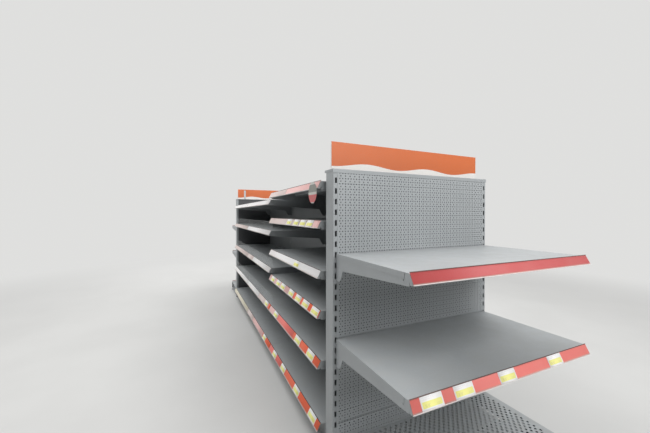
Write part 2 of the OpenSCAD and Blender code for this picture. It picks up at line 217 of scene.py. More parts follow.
class ShelvingColours(bpy.types.PropertyGroup):
    """Colours of the unit's finishes."""

    paint: colour_setting("Paint", "Grey powder coat", (0.37, 0.39, 0.40))
    red: colour_setting("Red", "Red strip paper", (0.58, 0.074, 0.076))
    # Coral also stands, on the ends' lower shelves, for red paper with painted glare.
    coral: colour_setting("Coral", "Lighter red strip paper", (0.86, 0.190, 0.165))
    brick: colour_setting("Brick", "Older red strip paper", (0.86, 0.135, 0.055))
    rose: colour_setting("Rose", "Faded red strip paper", (0.84, 0.52, 0.50))
    # Blush is also the painted sheen on the near bay's two top strips.
    blush: colour_setting("Blush", "Pale pink strip paper", (0.74, 0.63, 0.60))
    cream: colour_setting("Cream", "Cream strip paper", (0.76, 0.72, 0.58))
    white: colour_setting("White", "White card and paper", (0.92, 0.915, 0.91))
    yellow: colour_setting("Yellow", "Yellow block of a ticket", (0.92, 0.89, 0.30))
    orange: colour_setting("Orange", "Print of the header boards", (0.64, 0.148, 0.037))
    floor: colour_setting("Floor", "Floor near the unit", (0.57, 0.57, 0.56))
    backdrop: colour_setting("Backdrop", "Background", (0.74, 0.74, 0.73))


class ShelvingStage(bpy.types.PropertyGroup):
    """Camera and light."""

    viewpoint: FloatVectorProperty(
        name="Viewpoint", description="Place of the camera", default=(-1.1224, -2.860, 1.185),
        subtype="TRANSLATION",
    )
    turn: angle_setting("Turn", "Turn of the camera from the unit's length to its right", 24.354)
    dip: angle_setting("Dip", "Tilt of the camera below the level", 0.28)
    roll: angle_setting("Roll", "Turn of the camera about its own axis", -0.12)
    lens: FloatProperty(name="Lens", description="Focal length in millimetres", default=16.515)
    lamps: FloatProperty(name="Lamps", description="Strength of all lamps together", default=1.0, min=0)
    fill: FloatProperty(name="Fill", description="Strength of the light from all round", default=0.10, min=0)
    seed: IntProperty(name="Seed", description="Seed of the small differences between cards", default=7)


# Finishes

# Gloss of card and paper under a strip's clear cover
COVERED = {"Roughness": 0.6, "Coat_Weight": 0.3, "Coat_Roughness": 0.40, "Coat_IOR": 1.45}


class Value:
    """A number that changes over a surface, so that shader maths reads as Python."""

    def __init__(self, finish, socket):
        self.finish = finish
        self.socket = socket

    def maths(self, operation, *numbers):
        return self.finish.node("ShaderNodeMath", {"operation": operation}, numbers)

    def __add__(self, other):
        return self.maths("ADD", self, other)

    def __radd__(self, other):
        return self.maths("ADD", other, self)

    def __sub__(self, other):
        return self.maths("SUBTRACT", self, other)

    def __rsub__(self, other):
        return self.maths("SUBTRACT", other, self)

    def __mul__(self, other):
        return self.maths("MULTIPLY", self, other)

    def __rmul__(self, other):
        return self.maths("MULTIPLY", other, self)

    def __gt__(self, other):
        return self.maths("GREATER_THAN", self, other)

    def __lt__(self, other):
        return self.maths("LESS_THAN", self, other)

    def __abs__(self):
        return self.maths("ABSOLUTE", self)

    def rising(self, low, high):
        """Zero below low, one above high, and smooth between."""
        settings = {"interpolation_type": "SMOOTHSTEP"}
        inputs = {"Value": self, "From Min": low, "From Max": high}
        return self.finish.node("ShaderNodeMapRange", settings, inputs)


class Finish:
    """The nodes of a material or of the world, made round the one shader that it ends in."""

    def __init__(self, holder, shader):
        holder.use_nodes = True
        self.holder = holder
        self.tree = holder.node_tree
        self.shader = self.tree.nodes[shader]

    def node(self, kind, settings=None, inputs=(), out=0):
        """Adds a node, with its settings set before its inputs, and returns one of its outputs."""
        node = self.tree.nodes.new(kind)
        for name, value in (settings or {}).items():
            setattr(node, name, value)
        pairs = inputs.items() if isinstance(inputs, dict) else enumerate(inputs)
        for name, value in pairs:
            self.put(node.inputs[name], value)
        return Value(self, node.outputs[out])

    def put(self, socket, value):
        """Links a worked-out value to a socket, or sets a plain one on it."""
        if isinstance(value, Value):
            self.tree.links.new(value.socket, socket)
        else:
            socket.default_value = value

    def place(self):
        return self.node("ShaderNodeTexCoord", out="Object")

    def print_spot(self):
        return self.node("ShaderNodeUVMap", {"uv_map": "print"})

    def facing(self):
        return self.node("ShaderNodeNewGeometry", out="Normal")

    def stretched(self, place, scale, turn=0.0):
        inputs = {"Vector": place, "Scale": scale, "Rotation": (0, 0, turn)}
        return self.node("ShaderNodeMapping", None, inputs)

    def noise(self, place, scale, detail=2.0):
        return self.node("ShaderNodeTexNoise", None, {"Vector": place, "Scale": scale, "Detail": detail})

    def part(self, vector, axis):
        return self.node("ShaderNodeSeparateXYZ", None, [vector], out=axis)

    def attribute(self, name, out):
        return self.node("ShaderNodeAttribute", {"attribute_name": name}, out=out)

    def mix(self, share, first, second):
        """A colour between two, all of the second where the share is one."""
        inputs = {0: share, 6: first, 7: second}
        return self.node("ShaderNodeMix", {"data_type": "RGBA"}, inputs, out=2)

    def bump(self, height, distance):
        return self.node("ShaderNodeBump", None, {"Height": height, "Distance": distance})

    def done(self, **sockets):
        """Sets the shader's sockets, named with underscores for spaces, and returns what holds it."""
        for name, value in sockets.items():
            self.put(self.shader.inputs[name.replace("_", " ")], value)
        return self.holder


def shade(colour, by=1.0):
    """A colour with its alpha, made darker or lighter."""
    return tuple(min(1.0, part * by) for part in colour[:3]) + (1.0,)


def finish(build):
    """The material that a function builds, made the first time it is asked for."""
    name = build.__name__
    return bpy.data.materials.get(name) or build(Finish(bpy.data.materials.new(name), "Principled BSDF"))


def painted(f, scuffs, lift=1.0):
    """Satin grey powder coat, with handling marks, dust on what faces up and grime near the floor."""
    paint = shade(bpy.context.scene.shelving_colours.paint, lift)
    place = f.place()
    height = f.part(place, "Z")
    up = f.part(f.facing(), "Z").rising(0.6, 0.95)
    cloud = f.noise(place, 2.1, 3)
    blotch = f.noise(place, 19, 5)
    fleck = f.noise(place, 150, 3)
    peel = f.noise(place, 780, 1)
    marks = f.noise(f.stretched(place, (9, 240, 30), 0.5), 1, 4).rising(0.60, 0.72)
    marks = marks + f.noise(f.stretched(place, (210, 7, 30), -0.35), 1, 4).rising(0.62, 0.74)
    marks = marks * f.noise(place, 6, 2).rising(0.42, 0.62)
    dust = up * blotch.rising(0.30, 0.75)
    grime = (1 - height.rising(0.0, 0.16)) * blotch.rising(0.35, 0.70)
    chips = f.attribute("edge", "Fac") * fleck.rising(0.52, 0.60)
    colour = f.mix(cloud.rising(0.3, 0.7), shade(paint, 0.95), shade(paint, 1.05))
    colour = f.mix(fleck.rising(0.35, 0.65) * 0.25, colour, shade(paint, 0.90))
    colour = f.mix(dust * 0.16, colour, (0.46, 0.44, 0.40, 1))
    colour = f.mix(marks * scuffs, colour, (0.56, 0.57, 0.57, 1))
    colour = f.mix(grime * 0.45, colour, (0.15, 0.135, 0.115, 1))
    colour = f.mix(chips * 0.55, colour, (0.30, 0.29, 0.28, 1))
    roughness = 0.36 + blotch * 0.14 + dust * 0.12 + grime * 0.2 - marks * 0.06
    relief = f.bump(peel + marks * 0.4, 0.00005)
    return f.done(Base_Color=colour, Roughness=roughness, Normal=relief, Specular_IOR_Level=0.5)


def powder_coat(f):
    return painted(f, scuffs=0.06)


def deck_coat(f):
    return painted(f, scuffs=0.22)


def panel_coat(f):
    """The same coat on the punched panels, a little lighter than on the folded pieces."""
    return painted(f, scuffs=0.06, lift=1.07)


def dark_coat(f):
    """Dark grey paint of the rails, also put on the panels inside the end bays as painted shade, so that the
    holes in front of them read dark.
    """
    place = f.place()
    cloud = f.noise(place, 4, 4)
    colour = f.mix(cloud.rising(0.3, 0.7), (0.060, 0.062, 0.066, 1), (0.085, 0.088, 0.092, 1))
    relief = f.bump(f.noise(place, 700, 1), 0.00005)
    return f.done(Base_Color=colour, Roughness=0.42 + cloud * 0.16, Normal=relief)


def extruded_strip(f):
    """Clear extruded plastic, milky along its edges, pale on its lower lip, partly a painted highlight, and
    dark brown on its upper lip, partly painted shade of the gap behind it.
    """
    place = f.place()
    cloud = f.noise(place, 5, 3)
    dirt = f.noise(place, 60, 4).rising(0.55, 0.75)
    colour = f.mix(cloud.rising(0.3, 0.7), (0.84, 0.80, 0.79, 1), (0.92, 0.89, 0.88, 1))
    colour = f.mix(dirt * 0.3, colour, (0.48, 0.43, 0.38, 1))
    # The upper lip is drawn dark brown: a darker lip, and painted shade of the gap behind the strip's top
    # edge.
    dark_lip_and_painted_shade = f.attribute("upper_lip", "Fac")
    # The lower lip is drawn pale: milky plastic, and a painted highlight where it catches the light.
    milky = f.attribute("lower_lip", "Fac")
    colour = f.mix(dark_lip_and_painted_shade * 0.95, colour, (0.095, 0.050, 0.036, 1))
    colour = f.mix(milky * 0.90, colour, (0.93, 0.88, 0.86, 1))
    alpha = 0.05 + f.attribute("edge", "Fac") * 0.20 + dirt * 0.05 + dark_lip_and_painted_shade * 0.80 + milky * 0.65
    relief = f.bump(f.noise(f.stretched(place, (3, 3, 900)), 1, 2), 0.00004)
    return f.done(Base_Color=colour, Roughness=0.14 + cloud * 0.10, Alpha=alpha, Normal=relief, IOR=1.49)


def strip_paper(f):
    """Printed paper behind a clear cover, in the colour that each length of it has, and paler along its foot
    as a painted highlight.
    """
    place = f.place()
    paper = f.attribute("paper", "Color")
    fibre = f.noise(place, 420, 3)
    fade = f.noise(f.stretched(place, (3, 3, 1)), 1, 3)
    colour = f.mix(fibre.rising(0.35, 0.65) * 0.08, paper, (0.42, 0.36, 0.34, 1))
    colour = f.mix(fade.rising(0.45, 0.75) * 0.12, colour, (0.80, 0.52, 0.46, 1))
    # Painted highlight: the paper is drawn paler along its foot, by the strip's lower lip.
    foot = 1 - f.part(f.print_spot(), "Y").rising(0.08, 0.15)
    colour = f.mix(foot * 0.55, colour, (0.78, 0.66, 0.58, 1))
    relief = f.bump(f.noise(place, 26, 2), 0.0002)
    return f.done(Base_Color=colour, Normal=relief, **COVERED)


def ticket_card(f):
    """White card with an inset yellow block, and faint grey bars where print would stand."""
    colours = bpy.context.scene.shelving_colours
    spot = f.print_spot()
    along = f.part(spot, "X")
    height = f.part(spot, "Y")
    place = f.place()

    def patch(x, y, half_length, half_height):
        return (abs(height - y) < half_height) * (abs(along - x) < half_length)

    words = f.noise(f.stretched(spot, (34, 2, 1)), 1, 1).rising(0.44, 0.50)
    stripes = patch(0.78, 0.28, 0.10, 0.09) * (f.noise(f.stretched(spot, (85, 0, 1)), 1, 0) > 0.5)
    bars = patch(0.36, 0.84, 0.27, 0.035) + patch(0.30, 0.72, 0.21, 0.025)
    ink = bars * words * 0.5 + stripes * 0.6 + patch(0.30, 0.33, 0.13, 0.10) * words * 0.7
    tone = f.noise(place, 12, 2)
    card = f.mix(tone.rising(0.35, 0.65), shade(colours.white, 0.97), shade(colours.white, 1.03))
    card = f.mix(patch(0.50, 0.39, 0.44, 0.21), card, shade(colours.yellow))
    card = f.mix(ink * 0.30, card, (0.20, 0.19, 0.18, 1))
    relief = f.bump(f.noise(place, 300, 2), 0.00003)
    return f.done(Base_Color=card, Normal=relief, **COVERED)


def printed_board(f):
    """Orange print on a white board, over a white foot with a wavy border and bare white edges."""
    colours = bpy.context.scene.shelving_colours
    low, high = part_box("near_header_board")
    place = f.place()
    height = (f.part(place, "Z") - low.z) * (1 / (high.z - low.z))
    face = abs(f.part(f.facing(), "Y")).rising(0.7, 0.9)
    tone = f.noise(place, 3.2, 3)
    orange = f.mix(height.rising(0.1, 1.0), shade(colours.orange, 0.96), shade(colours.orange, 1.08))
    orange = f.mix(tone.rising(0.3, 0.7) * 0.3, orange, shade(colours.orange, 0.86))
    wave = f.node("ShaderNodeMath", {"operation": "SINE"}, [f.part(place, "X") * 16.0])
    print_colour = f.mix(height < 0.22 + wave * 0.07, orange, (0.82, 0.80, 0.77, 1))
    colour = f.mix(face, (0.80, 0.79, 0.77, 1), print_colour)
    colour = f.mix(f.noise(place, 240, 2).rising(0.45, 0.65) * 0.06, colour, (0.35, 0.30, 0.28, 1))
    relief = f.bump(f.noise(place, 500, 1), 0.00003)
    return f.done(Base_Color=colour, Roughness=0.44 + tone * 0.1, Normal=relief)


def flag_print(f):
    """A grey upper part, a pale band and a red foot, across a round card."""
    colours = bpy.context.scene.shelving_colours
    height = f.part(f.print_spot(), "Y")
    tone = f.noise(f.place(), 30, 3)
    grey = f.mix(tone.rising(0.3, 0.7), (0.185, 0.190, 0.170, 1), (0.225, 0.228, 0.205, 1))
    colour = f.mix(height < 0.52, grey, (0.58, 0.57, 0.52, 1))
    colour = f.mix(height < 0.40, colour, shade(colours.red, 0.92))
    colour = f.mix(abs(height - 0.46) > 0.415, colour, (0.62, 0.61, 0.58, 1))
    return f.done(Base_Color=colour, Roughness=0.34 + tone * 0.12, Coat_Weight=0.4, Coat_Roughness=0.12)


def zinc_plate(f):
    """Zinc plate, with the small crystals that it sets in."""
    place = f.place()
    crystal = f.node("ShaderNodeTexVoronoi", None, {"Vector": place, "Scale": 260}, out="Color")
    share = f.part(crystal, "X")
    haze = f.noise(place, 40, 4)
    colour = f.mix(share, (0.38, 0.39, 0.41, 1), (0.50, 0.51, 0.52, 1))
    colour = f.mix(haze.rising(0.5, 0.8) * 0.4, colour, (0.42, 0.41, 0.40, 1))
    relief = f.bump(f.noise(place, 900, 2), 0.00003)
    return f.done(Base_Color=colour, Roughness=0.42 + share * 0.12 + haze * 0.1, Normal=relief, Metallic=1.0)


def moulded_foot(f):
    """Moulded black plastic with a fine grain."""
    place = f.place()
    cloud = f.noise(place, 60, 4)
    colour = f.mix(cloud.rising(0.4, 0.7), (0.022, 0.022, 0.023, 1), (0.060, 0.057, 0.052, 1))
    relief = f.bump(f.noise(place, 1500, 2), 0.00006)
    return f.done(Base_Color=colour, Roughness=0.48 + cloud * 0.2, Normal=relief)


def clear_acrylic(f):
    """Clear sheet, milky where it was sawn and with fine wiping marks."""
    place = f.place()
    edge = f.attribute("edge", "Fac")
    wiped = f.noise(f.stretched(place, (200, 9, 160)), 1, 3)
    colour = f.mix(edge, (0.80, 0.84, 0.85, 1), (0.86, 0.90, 0.90, 1))
    alpha = 0.06 + edge * 0.6 + wiped.rising(0.55, 0.75) * 0.03
    return f.done(Base_Color=colour, Roughness=0.05 + wiped * 0.08, Alpha=alpha, IOR=1.49, Coat_Weight=0.6)


# Making pieces


def merged(node):
    """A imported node's loose triangles joined into whole faces."""
    bm = bmesh.new()
    bm.from_mesh(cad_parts[node].data)
    bmesh.ops.remove_doubles(bm, verts=bm.verts, dist=MERGE_DISTANCE)
    bmesh.ops.dissolve_limit(bm, angle_limit=FLAT_ANGLE, verts=bm.verts, edges=bm.edges)
    return bm


def box_of(verts):
    """The lowest and highest corners of some vertices."""
    low = Vector([min(vert.co[axis] for vert in verts) for axis in range(3)])
    high = Vector([max(vert.co[axis] for vert in verts) for axis in range(3)])
    return low, high


def solids(node):
    """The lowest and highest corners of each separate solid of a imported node."""
    bm = merged(node)
    waiting = dict.fromkeys(bm.verts)
    boxes = []
    while waiting:
        reached = [waiting.popitem()[0]]
        for vert in reached:
            for edge in vert.link_edges:
                other = edge.other_vert(vert)
                if other in waiting:
                    del waiting[other]
                    reached.append(other)
        boxes.append(box_of(reached))
    bm.free()
    return boxes


def linked(name, data):
    """A new object in the scene that holds a mesh, lamp or camera."""
    holder = bpy.data.objects.new(name, data)
    bpy.context.scene.collection.objects.link(holder)
    return holder


def finished(bm, name, build):
    """A new object in the scene with a bmesh's shape and one material."""
    mesh = bpy.data.meshes.new(name)
    bm.to_mesh(mesh)
    bm.free()
    if "custom_normal" in mesh.attributes:
        mesh.attributes.remove(mesh.attributes["custom_normal"])
    mesh.materials.clear()
    mesh.materials.append(finish(build))
    return linked(name, mesh)


def add_piece(bm, name, build, slot, *nodes):
    """Makes a finished piece of a bmesh, which rides on the unit and stands for the nodes named."""
    piece = finished(bm, name, build)
    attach(piece, "root")
    if nodes:
        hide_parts(*nodes)
    return piece


def round_edges(bm, radius):
    """Rounds every sharp edge a little and marks the new faces, which wear first."""
    worn = bm.faces.layers.float.new("edge")
    sharp = [edge for edge in bm.edges if edge.is_manifold and edge.calc_face_angle(0) > SHARP_ANGLE]
    made = bmesh.ops.bevel(
        bm, geom=sharp, offset=radius, offset_type="OFFSET", affect="EDGES",
        segments=2, profile=0.5, material=-1, clamp_overlap=True,
    )
    for face in made["faces"]:
        face[worn] = 1.0
    for face in bm.faces:
        face.smooth = True


def rounded_copy(node, name, build, slot, radius=None, change=None):
    """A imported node, with any change to its shape, and its cut edges rounded for the light to catch."""
    bm = merged(node)
    if change:
        change(bm)
    round_edges(bm, radius or bpy.context.scene.shelving_sheet.edge)
    piece = add_piece(bm, name, build, slot, node)
    piece.modifiers.new("Flat Faces", "WEIGHTED_NORMAL").keep_sharp = True
    return piece


def coat(nodes, build):
    """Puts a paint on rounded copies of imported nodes."""
    for node in nodes:
        rounded_copy(node, node + "_coated", build, "grey_paint")


def give_finish(node, build):
    """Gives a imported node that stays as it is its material."""
    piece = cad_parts[node]
    for entry in piece.material_slots:
        entry.material = finish(build)


def draw_out(bm, edges, by):
    """Draws a sheet's edge out along a straight line and returns the new edge."""
    by = Vector(by)
    if by.length < MERGE_DISTANCE:
        return edges
    made = bmesh.ops.extrude_edge_only(bm, edges=edges)["geom"]
    verts = [part for part in made if isinstance(part, bmesh.types.BMVert)]
    bmesh.ops.translate(bm, verts=verts, vec=by)
    return [part for part in made if isinstance(part, bmesh.types.BMEdge) and part.is_boundary and
            all(vert in verts for vert in part.verts)]


def fold_along(bm, edges, line, radius):
    """Draws a sheet's edge out along a line of points, round each corner at the outer radius."""
    here = line[0]
    for corner, after, before in zip(line[1:], line[2:], line):
        inward = (corner - before).normalized()
        outward = (after - corner).normalized()
        turn = inward.angle(outward)
        reach = radius * math.tan(turn / 2)
        axis = inward.cross(outward).normalized()
        start = corner - inward * reach
        edges = draw_out(bm, edges, start - here)
        spun = bmesh.ops.spin(
            bm, geom=edges, cent=start + axis.cross(inward) * radius, axis=axis,
            angle=turn, steps=BEND_STEPS, use_duplicate=False,
        )
        edges = [part for part in spun["geom_last"] if isinstance(part, bmesh.types.BMEdge)]
        here = corner + outward * reach
    return draw_out(bm, edges, line[-1] - here)


def thicken(bm, thickness):
    """Gives an open sheet its thickness, away from its face."""
    bmesh.ops.solidify(bm, geom=bm.faces[:], thickness=thickness)


def make_steel(bm, way):
    """Turns an open sheet so that most of it faces the given way, and gives it the steel's thickness."""
    bmesh.ops.recalc_face_normals(bm, faces=bm.faces)
    if sum(face.normal.dot(way) * face.calc_area() for face in bm.faces) < 0:
        bmesh.ops.reverse_faces(bm, faces=bm.faces)
    thicken(bm, bpy.context.scene.shelving_sheet.thickness)


def punched_tile(size, holes, radius, sides):
    """One tile of flat sheet in the XY plane with holes whose sides touch the radius, from the origin up."""
    bm = bmesh.new()
    place = Matrix.Translation((size.x / 2, size.y / 2, 0)) @ Matrix.Diagonal((size.x, size.y, 1, 1))
    bmesh.ops.create_grid(bm, x_segments=1, y_segments=1, size=0.5, matrix=place)
    bmesh.ops.delete(bm, geom=bm.faces[:], context="FACES_ONLY")
    corner = radius / math.cos(math.pi / sides)
    for x, y in holes:
        spot = Matrix.Translation((x, y, 0)) @ Matrix.Rotation(math.pi / sides, 4, "Z")
        bmesh.ops.create_circle(bm, cap_ends=False, segments=sides, radius=corner, matrix=spot)
    bmesh.ops.triangle_fill(bm, edges=bm.edges[:], use_beauty=True, normal=UP)
    return bm


def repeat(bm, step, times):
    """Repeats all of a bmesh along a step, and joins the copies where they touch."""
    if times > 1:
        geom = bm.verts[:] + bm.edges[:] + bm.faces[:]
        bmesh.ops.spin(
            bm, geom=geom, cent=(0, 0, 0), axis=UP, dvec=step, angle=0, steps=times - 1, use_duplicate=True
        )
        bmesh.ops.remove_doubles(bm, verts=bm.verts, dist=RIM_DISTANCE)


def spread(bm, size, across, along, width, start):
    """Repeats a tile across X and along Y from the start, centres it on X and widens its plain margins."""
    repeat(bm, (size.x, 0, 0), across)
    repeat(bm, (0, size.y, 0), along)
    half = across * size.x / 2
    bmesh.ops.translate(bm, verts=bm.verts, vec=(-half, start, 0))
    margin = width / 2 - half
    draw_out(bm, rim(bm, lambda at: at.x < -half + RIM_DISTANCE), (-margin, 0, 0))
    draw_out(bm, rim(bm, lambda at: at.x > half - RIM_DISTANCE), (margin, 0, 0))


def cut(bm, point, normal, clear=False):
    """Cuts the sheet along a plane, and drops what lies on the normal's side if asked."""
    geom = bm.verts[:] + bm.edges[:] + bm.faces[:]
    bmesh.ops.bisect_plane(
        bm, geom=geom, dist=CUT_DISTANCE, plane_co=point, plane_no=normal, clear_outer=clear
    )


def rim(bm, test):
    """The open edges whose middle passes a test."""
    edges = [edge for edge in bm.edges if edge.is_boundary]
    return [edge for edge in edges if test((edge.verts[0].co + edge.verts[1].co) / 2)]


def turned_to(outward):
    """The turn about Z from facing -Y to facing outward."""
    return Matrix.Rotation(math.atan2(outward.x, -outward.y), 4, "Z")


def punched_panel(low, high, fold):
    """A back panel, its face in the XZ plane at the origin looking to -Y, its folded edges behind."""
    sheet = bpy.context.scene.shelving_sheet
    width = high.x - low.x
    height = high.z - low.z
    inner = width / 2 - PANEL_END
    size = Vector((WIDE_HOLES * sheet.pitch, 2 * sheet.row))
    holes = [((i + 0.5) * size.x / CLOSE_HOLES, 0.5 * sheet.row) for i in range(CLOSE_HOLES)]
    holes += [((i + 0.5) * sheet.pitch, 1.5 * sheet.row) for i in range(WIDE_HOLES)]
    bm = punched_tile(size, holes, sheet.hole / 2, sides=8)
    spread(bm, size, int(width / size.x), math.ceil(height / size.y), width, -PANEL_GAP / 2)
    cut(bm, (0, 0, 0), (0, -1, 0), clear=True)
    cut(bm, (0, height, 0), (0, 1, 0), clear=True)
    for x in (-inner, inner):
        cut(bm, (x, 0, 0), (1, 0, 0))
    foot, head = sheet.bend, height - sheet.bend
    for y in (foot, head):
        cut(bm, (0, y, 0), (0, 1, 0))
    middles = [(face, face.calc_center_median()) for face in bm.faces]
    waste = [face for face, at in middles if abs(at.x) < inner and not foot < at.y < head]
    bmesh.ops.delete(bm, geom=waste, context="FACES")
    for end, way in ((0, -1), (height, 1)):
        start = end - way * sheet.bend
        edges = rim(bm, lambda at: abs(at.x) < inner and abs(at.y - start) < MERGE_DISTANCE)
        line = [Vector((0, start, 0)), Vector((0, end, 0)), Vector((0, end, -fold))]
        fold_along(bm, edges, line, sheet.bend)
    make_steel(bm, UP)
    bmesh.ops.rotate(bm, verts=bm.verts, cent=(0, 0, 0), matrix=Matrix.Rotation(math.pi / 2, 3, "X"))
    return bm


def punched_deck(low, high):
    """A base deck with staggered holes, its top at Z = 0 and its rear edge at Y = 0, its nose towards -Y."""
    sheet = bpy.context.scene.shelving_sheet
    strip = bpy.context.scene.shelving_strip
    width = high.x - low.x
    nose_drop = high.z - low.z
    nose_out = nose_drop * math.tan(strip.tilt)
    depth = high.y - low.y - nose_out
    pitch = sheet.deck_pitch
    size = Vector((pitch, pitch))
    holes = [(pitch * 0.25, pitch * 0.25), (pitch * 0.75, pitch * 0.75)]
    along = int((depth - DECK_BORDER.y) / pitch)
    margin = (depth - along * pitch) / 2
    front = margin - depth
    bm = punched_tile(size, holes, sheet.deck_hole / 2, sides=10)
    spread(bm, size, int((width - DECK_BORDER.x) / pitch), along, width, front)
    draw_out(bm, rim(bm, lambda at: at.y > -margin - RIM_DISTANCE), (0, margin, 0))
    tip = -depth - nose_out
    line = [
        Vector((0, front, 0)),
        Vector((0, -depth, 0)),
        Vector((0, tip, -nose_drop)),
        Vector((0, tip + NOSE_RETURN, -nose_drop)),
        Vector((0, tip + NOSE_RETURN, NOSE_HEM - nose_drop)),
    ]
    fold_along(bm, rim(bm, lambda at: at.y < front + RIM_DISTANCE), line, sheet.bend)
    make_steel(bm, UP)
    add_channel(bm, width - LEG_SPACE, -depth / 2)
    return bm


def add_channel(bm, length, middle):
    """A stiffening channel under a deck, open at its ends."""
    sheet = bpy.context.scene.shelving_sheet
    channel = bmesh.new()
    half = CHANNEL_WIDTH / 2
    top = -sheet.thickness
    corners = [(-half, top), (-half, -CHANNEL_DEPTH), (half, -CHANNEL_DEPTH), (half, top)]
    line = [Vector((0, middle + y, z)) for y, z in corners]
    ends = [channel.verts.new((x, *line[0].yz)) for x in (-length / 2, length / 2)]
    fold_along(channel, [channel.edges.new(ends)], line, sheet.bend)
    make_steel(channel, -UP)
    join(bm, channel)


def join(bm, other):
    """Adds one bmesh to another."""
    mesh = bpy.data.meshes.new("joined")
    other.to_mesh(mesh)
    other.free()
    bm.from_mesh(mesh)
    bpy.data.meshes.remove(mesh)


def strip_place(box, outward):
    """Turns metres along a strip, down its slope and out from its back into the unit's frame."""
    strip = bpy.context.scene.shelving_strip
    low, high = box
    along = FAR if outward.y == 0 else UP.cross(outward)
    down = outward * math.sin(strip.tilt) - UP * math.cos(strip.tilt)
    out = outward * math.cos(strip.tilt) + UP * math.sin(strip.tilt)
    inner = min(low.dot(outward), high.dot(outward))
    start = min(low.dot(along), high.dot(along))
    top = high.z - strip.depth * math.sin(strip.tilt)
    corner = outward * inner + along * start + UP * top
    turn = Matrix((along, down, out)).transposed().to_4x4()
    return Matrix.Translation(corner) @ turn


def add_card(bm, place, start, end, margin, lift, bow, tilt=0.0):
    """Puts a thin card in a strip, its face slightly bowed, and returns its faces."""
    strip = bpy.context.scene.shelving_strip
    height = strip.height + strip.rise - 2 * margin
    card = bmesh.new()
    bmesh.ops.create_grid(card, x_segments=1, y_segments=6, size=0.5)
    prints = card.loops.layers.uv.new("print")
    for face in card.faces:
        for loop in face.loops:
            loop[prints].uv = (loop.vert.co.x + 0.5, 0.5 - loop.vert.co.y)
    for vert in card.verts:
        vert.co.z = bow * (1 - (2 * vert.co.y) ** 2)
    bmesh.ops.scale(card, verts=card.verts, vec=(end - start, height, 1))
    bmesh.ops.rotate(card, verts=card.verts, cent=(0, 0, 0), matrix=Matrix.Rotation(tilt, 3, "Z"))
    middle = (strip.height - strip.rise) / 2
    bmesh.ops.translate(card, verts=card.verts, vec=((start + end) / 2, middle, strip.back + lift))
    thicken(card, CARD_SHEET)
    for face in card.faces:
        face.smooth = abs(face.normal.z) > 0.5
    bmesh.ops.transform(card, matrix=place, verts=card.verts)
    if place.to_3x3().determinant() < 0:
        bmesh.ops.reverse_faces(card, faces=card.faces)
    first = len(bm.faces)
    join(bm, card)
    bm.faces.ensure_lookup_table()
    return bm.faces[first:]


def strip_rows(node, outward):
    """The strips of a node with what lies in each."""
    rows = {}
    for box in solids(node):
        rows.setdefault(round(box[0].y, 2) if outward.y == 0 else 0, []).append(box)
    tables = [END_CARDS] if outward.y else [NEAR_BAY_CARDS, MIDDLE_BAY_CARDS, FAR_BAY_CARDS]
    for start, cards in zip(sorted(rows), tables, strict=True):
        boxes = sorted(rows[start], key=lambda box: -box[0].z)
        yield from zip(boxes, cards, strict=True)


# Operators


class SHELVING_OT_posts(bpy.types.Operator):
    """Rounded copies of the slotted posts and the top caps"""

    bl_idname = "shelving.posts"
    bl_label = "Posts and Caps"

    def execute(self, context):
        nodes = ("near_uprights", "far_uprights", "run_posts", "near_top_cap", "far_top_cap", "run_top_cap")
        coat(nodes, powder_coat)
        return {"FINISHED"}


class SHELVING_OT_shelves(bpy.types.Operator):
    """Rounded copies of the shelves and of the long sides' base decks"""

    bl_idname = "shelving.shelves"
    bl_label = "Shelves"

    def execute(self, context):
        for end in ENDS:
            coat((end + "_upper_shelf", end + "_lower_shelf"), deck_coat)
        for side in SIDES:
            coat((side + "_shelves", side + "_base_decks"), deck_coat)
        return {"FINISHED"}


class SHELVING_OT_brackets(bpy.types.Operator):
    """Rounded copies of the shelf brackets"""

    bl_idname = "shelving.brackets"
    bl_label = "Brackets"

    def execute(self, context):
        coat([place + "_shelf_brackets" for place in PLACES], powder_coat)
        return {"FINISHED"}


class SHELVING_OT_base(bpy.types.Operator):
    """Rounded copies of the plinths, the base legs and the long sides' back panels"""

    bl_idname = "shelving.base"
    bl_label = "Base and Backs"

    def execute(self, context):
        nodes = ("near_plinth", "far_plinth", "left_plinths", "right_plinths")
        nodes += ("near_base_legs", "far_base_legs", "run_base_legs", "run_back_panels")
        coat(nodes, powder_coat)
        return {"FINISHED"}


def drop_front(bm, outward, middle):
    """Drops the panels that lie further outward than the middle."""
    front = [vert for vert in bm.verts if vert.co.dot(outward) > middle]
    bmesh.ops.delete(bm, geom=front, context="VERTS")


class SHELVING_OT_punched_panels(bpy.types.Operator):
    """Back panels of both ends: in front with rows of holes, a piece for each panel, and behind plain and
    dark as painted shade
    """

    bl_idname = "shelving.punched_panels"
    bl_label = "Punched Panels"

    def execute(self, context):
        for end, outward in ENDS.items():
            node = end + "_back_panels"
            middle = sum(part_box(node), Vector()).dot(outward) / 2
            # Painted shade: the rear panels get the dark paint, so that the holes in the punched panels in
            # front read dark.
            rounded_copy(
                node, end + "_rear_panels", dark_coat, "dark_steel",
                change=lambda bm: drop_front(bm, outward, middle),
            )
            boxes = [box for box in solids(node) if box[0].dot(outward) > middle]
            boxes.sort(key=lambda box: -box[0].z)
            for number, (low, high) in enumerate(boxes, 1):
                bm = punched_panel(low, high, high.y - low.y)
                face = max(low.dot(outward), high.dot(outward))
                place = Matrix.Translation(outward * face + UP * low.z) @ turned_to(outward)
                bmesh.ops.transform(bm, matrix=place, verts=bm.verts)
                add_piece(bm, f"{end}_punched_panel_{number}", panel_coat, "grey_paint", node)
        return {"FINISHED"}


